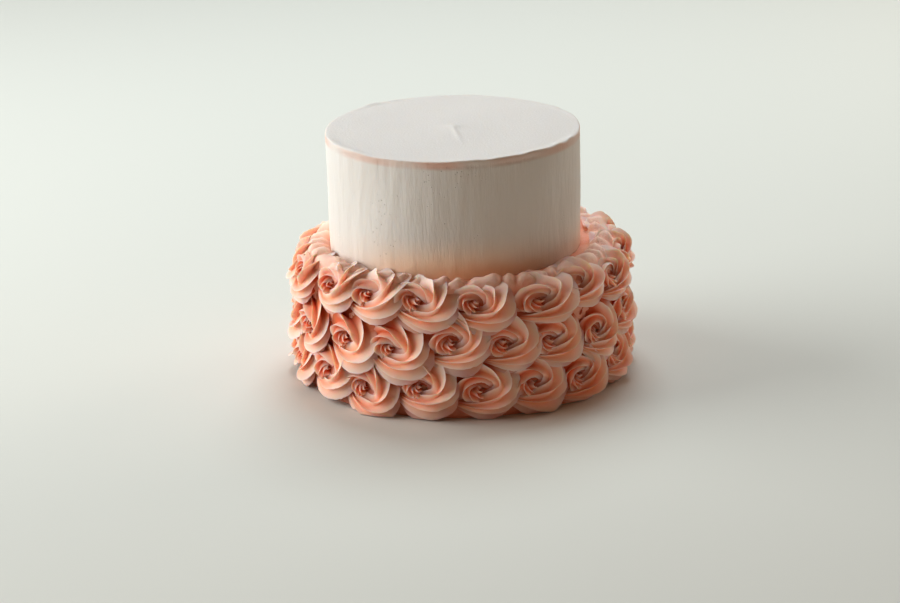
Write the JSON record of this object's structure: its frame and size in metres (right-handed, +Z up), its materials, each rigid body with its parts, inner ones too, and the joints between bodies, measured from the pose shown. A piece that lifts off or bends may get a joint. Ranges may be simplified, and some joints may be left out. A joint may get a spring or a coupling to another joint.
{
  "type": "layer cake",
  "caption": "Tiered celebration cake: a smooth white buttercream tier on a wider tier covered all round with rows of piped peach rosettes.",
  "frame": {"origin": "middle of the flat base, on the surface the cake stands on", "axes": "+Z up through the tiers, the pictured front faces -Y, +X to its right"},
  "size_m": [0.2284, 0.2285, 0.1607],
  "materials": {
    "white_buttercream": "smoothed white buttercream, satin, with fine drag lines and a few small pocks",
    "peach_coat": "thin rough coat of peach buttercream under the rosettes, matt",
    "peach_buttercream": "piped peach buttercream, satin, light passes through the thin edges"
  },
  "bodies": {
    "root": {"upper_tier": "white_buttercream", "lower_tier": "peach_coat", "rosette_bottom_01": "peach_buttercream", "rosette_bottom_02": "peach_buttercream", "rosette_bottom_03": "peach_buttercream", "rosette_bottom_04": "peach_buttercream", "rosette_bottom_05": "peach_buttercream", "rosette_bottom_06": "peach_buttercream", "rosette_bottom_07": "peach_buttercream", "rosette_bottom_08": "peach_buttercream", "rosette_bottom_09": "peach_buttercream", "rosette_bottom_10": "peach_buttercream", "rosette_bottom_11": "peach_buttercream", "rosette_bottom_12": "peach_buttercream", "rosette_bottom_13": "peach_buttercream", "rosette_bottom_14": "peach_buttercream", "rosette_bottom_15": "peach_buttercream", "rosette_bottom_16": "peach_buttercream", "rosette_bottom_17": "peach_buttercream", "rosette_bottom_18": "peach_buttercream", "rosette_middle_01": "peach_buttercream", "rosette_middle_02": "peach_buttercream", "rosette_middle_03": "peach_buttercream", "rosette_middle_04": "peach_buttercream", "rosette_middle_05": "peach_buttercream", "rosette_middle_06": "peach_buttercream", "rosette_middle_07": "peach_buttercream", "rosette_middle_08": "peach_buttercream", "rosette_middle_09": "peach_buttercream", "rosette_middle_10": "peach_buttercream", "rosette_middle_11": "peach_buttercream", "rosette_middle_12": "peach_buttercream", "rosette_middle_13": "peach_buttercream", "rosette_middle_14": "peach_buttercream", "rosette_middle_15": "peach_buttercream", "rosette_middle_16": "peach_buttercream", "rosette_middle_17": "peach_buttercream", "rosette_middle_18": "peach_buttercream", "rosette_top_01": "peach_buttercream", "rosette_top_02": "peach_buttercream", "rosette_top_03": "peach_buttercream", "rosette_top_04": "peach_buttercream", "rosette_top_05": "peach_buttercream", "rosette_top_06": "peach_buttercream", "rosette_top_07": "peach_buttercream", "rosette_top_08": "peach_buttercream", "rosette_top_09": "peach_buttercream", "rosette_top_10": "peach_buttercream", "rosette_top_11": "peach_buttercream", "rosette_top_12": "peach_buttercream", "rosette_top_13": "peach_buttercream", "rosette_top_14": "peach_buttercream", "rosette_top_15": "peach_buttercream", "rosette_top_16": "peach_buttercream", "rosette_top_17": "peach_buttercream", "rosette_top_18": "peach_buttercream"}
  },
  "joints": []
}
